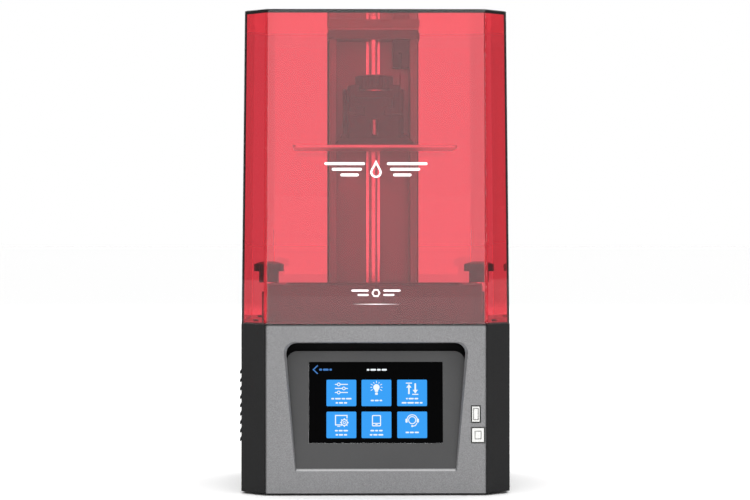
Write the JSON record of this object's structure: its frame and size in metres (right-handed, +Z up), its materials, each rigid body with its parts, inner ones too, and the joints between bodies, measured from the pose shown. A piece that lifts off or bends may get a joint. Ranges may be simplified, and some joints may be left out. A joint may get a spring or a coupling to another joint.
{
  "type": "desktop resin printer",
  "caption": "Desktop resin 3D printer: translucent red lift-off cover over a screw-driven build platform, a resin vat and a louvred base with a sunken touch screen.",
  "frame": {"origin": "centre of the bounding box on the floor, under the middle of the body", "axes": "+Z up through the cover, -Y out of the front with the touch screen, +X to the viewer's right"},
  "size_m": [0.225, 0.221, 0.397],
  "materials": {
    "black_sheet": "fine satin powder coat",
    "grey_paint": "fine-grain satin metallic",
    "dark_panel": "fine matte",
    "black_plastic": "matte",
    "screen_glass": "gloss",
    "red_acrylic": "clear gloss",
    "feet_rubber": "matte",
    "seal_rubber": "matte",
    "steel": "satin",
    "dark_steel": "black oxide",
    "alu": "fine blasted",
    "alu_dark": "black anodised",
    "brass": "machined",
    "board_green": "solder mask",
    "parts_black": "moulded",
    "white_plastic": "moulded",
    "film_clear": "clear film",
    "lens_clear": "clear moulded",
    "carbon": "granular"
  },
  "bodies": {
    "base": {"foot_pads": "feet_rubber", "bottom_plate": "black_sheet", "case_screws": "dark_steel", "base_shell": "black_sheet", "vent_left": "black_plastic", "vent_right": "black_plastic", "seal_ring": "seal_rubber", "deck_plate": "alu_dark", "front_panel": "grey_paint", "bezel_panel": "dark_panel", "touch_glass": "screen_glass", "display_module": "steel", "recess_liner": "black_plastic", "socket_a": "white_plastic", "socket_b": "white_plastic", "io_board": "board_green", "dc_inlet": "black_plastic", "rocker_housing": "black_plastic", "mask_panel": "screen_glass", "light_shroud": "white_plastic", "lens_array": "lens_clear", "led_board": "board_green", "heat_sink": "alu", "main_board": "board_green", "board_standoffs": "brass", "board_parts": "parts_black", "exhaust_frame": "parts_black", "filter_fan_frame": "parts_black", "carbon_filter": "carbon", "clamp_posts": "parts_black", "column": "alu_dark", "column_cover": "black_sheet", "column_cap": "alu_dark", "column_screws": "dark_steel", "linear_rail": "steel", "stepper": "dark_steel", "limit_switch": "parts_black"},
    "cover": {"cover": "red_acrylic"},
    "lead_screw": {"lead_screw": "steel"},
    "carriage": {"rail_slider": "steel", "carriage_block": "alu_dark", "brass_nut": "brass", "carriage_screws": "dark_steel", "limit_flag": "dark_steel", "arm": "alu_dark"},
    "platform": {"hanger": "alu_dark", "build_plate": "alu", "level_screws": "dark_steel"},
    "knob_collar": {"knob_collar": "steel"},
    "platform_knob": {"platform_knob": "parts_black"},
    "vat": {"vat_body": "alu_dark", "vat_film": "film_clear", "film_frame": "steel"},
    "thumb_washer_left": {"thumb_washer_left": "steel"},
    "thumb_knob_left": {"thumb_knob_left": "parts_black"},
    "thumb_washer_right": {"thumb_washer_right": "steel"},
    "thumb_knob_right": {"thumb_knob_right": "parts_black"},
    "rocker": {"rocker": "black_plastic"},
    "exhaust_rotor": {"exhaust_rotor": "parts_black"},
    "filter_rotor": {"filter_rotor": "parts_black"}
  },
  "joints": [
    {"name": "cover_lift", "type": "slide", "parent": "base", "child": "cover", "axis": [0, 0, 1], "range_m": [0, 0.27]},
    {"name": "z_slide", "type": "slide", "parent": "base", "child": "carriage", "axis": [0, 0, 1], "range_m": [-0.1443, 0.0166]},
    {"name": "screw_turn", "type": "hinge", "parent": "base", "child": "lead_screw", "pos_m": [0, 0.058, 0.2], "axis": [0, 0, 1], "range_deg": [-3100, 26300]},
    {"name": "platform_slide", "type": "slide", "parent": "carriage", "child": "platform", "axis": [0, -1, 0], "range_m": [0, 0.048]},
    {"name": "knob_rise", "type": "slide", "parent": "carriage", "child": "knob_collar", "axis": [0, 0, 1], "range_m": [0, 0.003]},
    {"name": "knob_turn", "type": "hinge", "parent": "knob_collar", "child": "platform_knob", "pos_m": [0, -0.002, 0.343], "axis": [0, 0, 1], "range_deg": [0, 864]},
    {"name": "vat_slide", "type": "slide", "parent": "base", "child": "vat", "axis": [0, -1, 0], "range_m": [0, 0.038]},
    {"name": "thumb_rise_left", "type": "slide", "parent": "base", "child": "thumb_washer_left", "axis": [0, 0, 1], "range_m": [0, 0.006]},
    {"name": "thumb_turn_left", "type": "hinge", "parent": "thumb_washer_left", "child": "thumb_knob_left", "pos_m": [-0.0903, 0.01, 0.18], "axis": [0, 0, 1], "range_deg": [0, 2160]},
    {"name": "thumb_rise_right", "type": "slide", "parent": "base", "child": "thumb_washer_right", "axis": [0, 0, 1], "range_m": [0, 0.006]},
    {"name": "thumb_turn_right", "type": "hinge", "parent": "thumb_washer_right", "child": "thumb_knob_right", "pos_m": [0.0903, 0.01, 0.18], "axis": [0, 0, 1], "range_deg": [0, 2160]},
    {"name": "rocker_tilt", "type": "hinge", "parent": "base", "child": "rocker", "pos_m": [0.0505, 0.1035, 0.0305], "axis": [1, 0, 0], "range_deg": [-16, 0]},
    {"name": "exhaust_spin", "type": "hinge", "parent": "base", "child": "exhaust_rotor", "pos_m": [0.1, 0.0435, 0.071], "axis": [1, 0, 0], "continuous": true},
    {"name": "filter_spin", "type": "hinge", "parent": "base", "child": "filter_rotor", "pos_m": [-0.09, -0.0385, 0.071], "axis": [1, 0, 0], "continuous": true}
  ],
  "couplings": [
    {"joint": "screw_turn", "follows": "z_slide", "rad_per_m": -3141.6},
    {"joint": "knob_rise", "follows": "knob_turn", "m_per_rad": 0.00019894},
    {"joint": "thumb_rise_left", "follows": "thumb_turn_left", "m_per_rad": 0.00015915},
    {"joint": "thumb_rise_right", "follows": "thumb_turn_right", "m_per_rad": 0.00015915}
  ]
}
